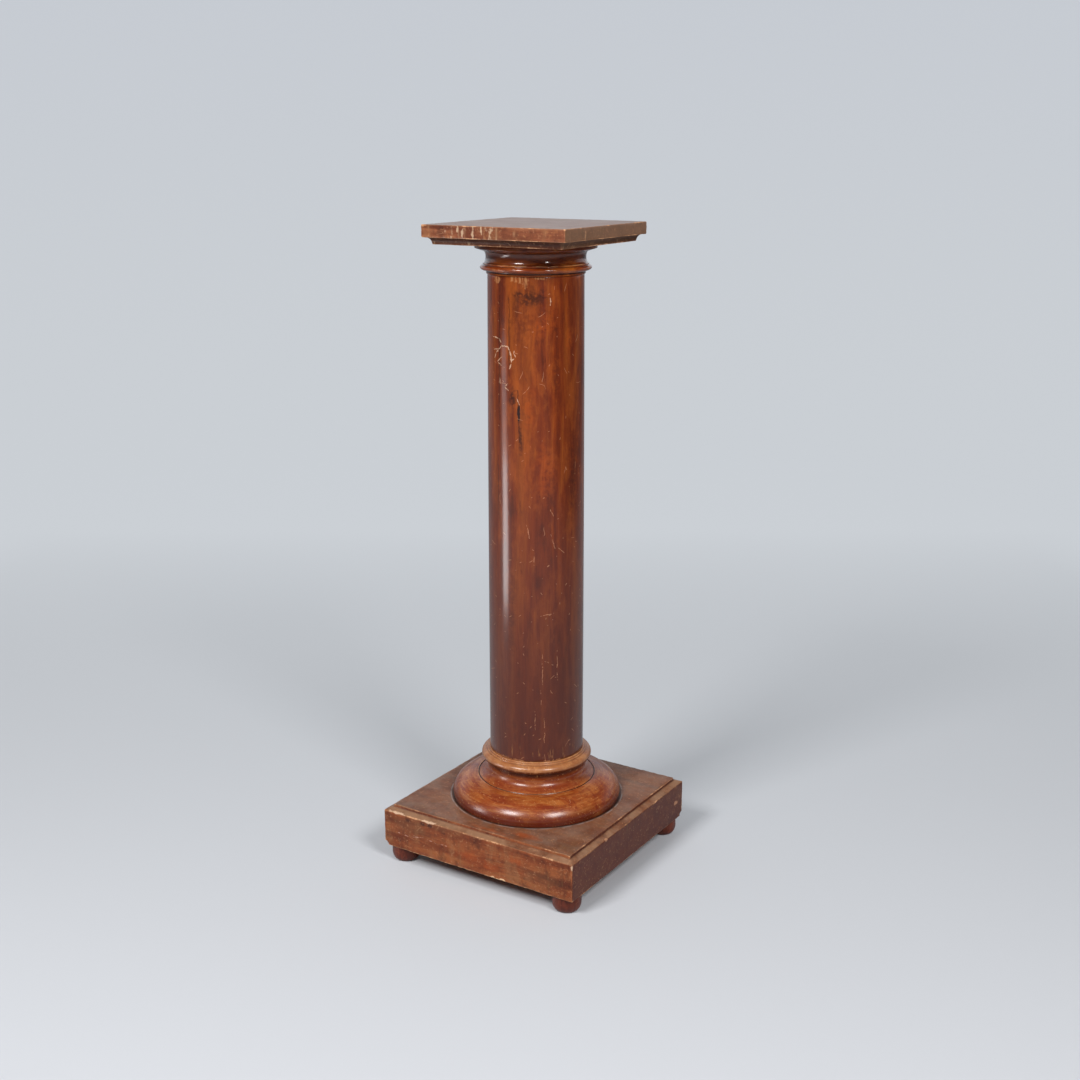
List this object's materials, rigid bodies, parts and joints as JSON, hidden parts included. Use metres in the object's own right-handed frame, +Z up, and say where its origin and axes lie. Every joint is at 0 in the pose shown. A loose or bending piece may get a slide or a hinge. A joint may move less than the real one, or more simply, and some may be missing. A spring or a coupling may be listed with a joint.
{
  "type": "display pedestal",
  "caption": "Turned wooden column on a square plinth with bun feet, carrying a square top board for a vase, bust or plant.",
  "frame": {"origin": "on the floor, under the middle of the plinth", "axes": "+Z up along the column, -Y towards the front of the plinth, +X to the right as seen from the front"},
  "size_m": [0.352, 0.352, 1],
  "materials": {
    "plinth_wood": "old varnish, worn and dusty on its top",
    "foot_wood": "dark stained, satin",
    "base_wood": "glossy varnish, orange-brown",
    "shaft_wood": "glossy varnish, red-brown, scratched",
    "neck_wood": "glossy varnish, dark red-brown",
    "top_board_wood": "old varnish, worn at its edges, dusty on top"
  },
  "bodies": {
    "root": {"plinth": "plinth_wood", "foot_front_left": "foot_wood", "foot_front_right": "foot_wood", "foot_back_left": "foot_wood", "foot_back_right": "foot_wood", "base_moulding": "base_wood", "column_shaft": "shaft_wood", "neck_moulding": "neck_wood", "top_board": "top_board_wood"}
  },
  "joints": []
}
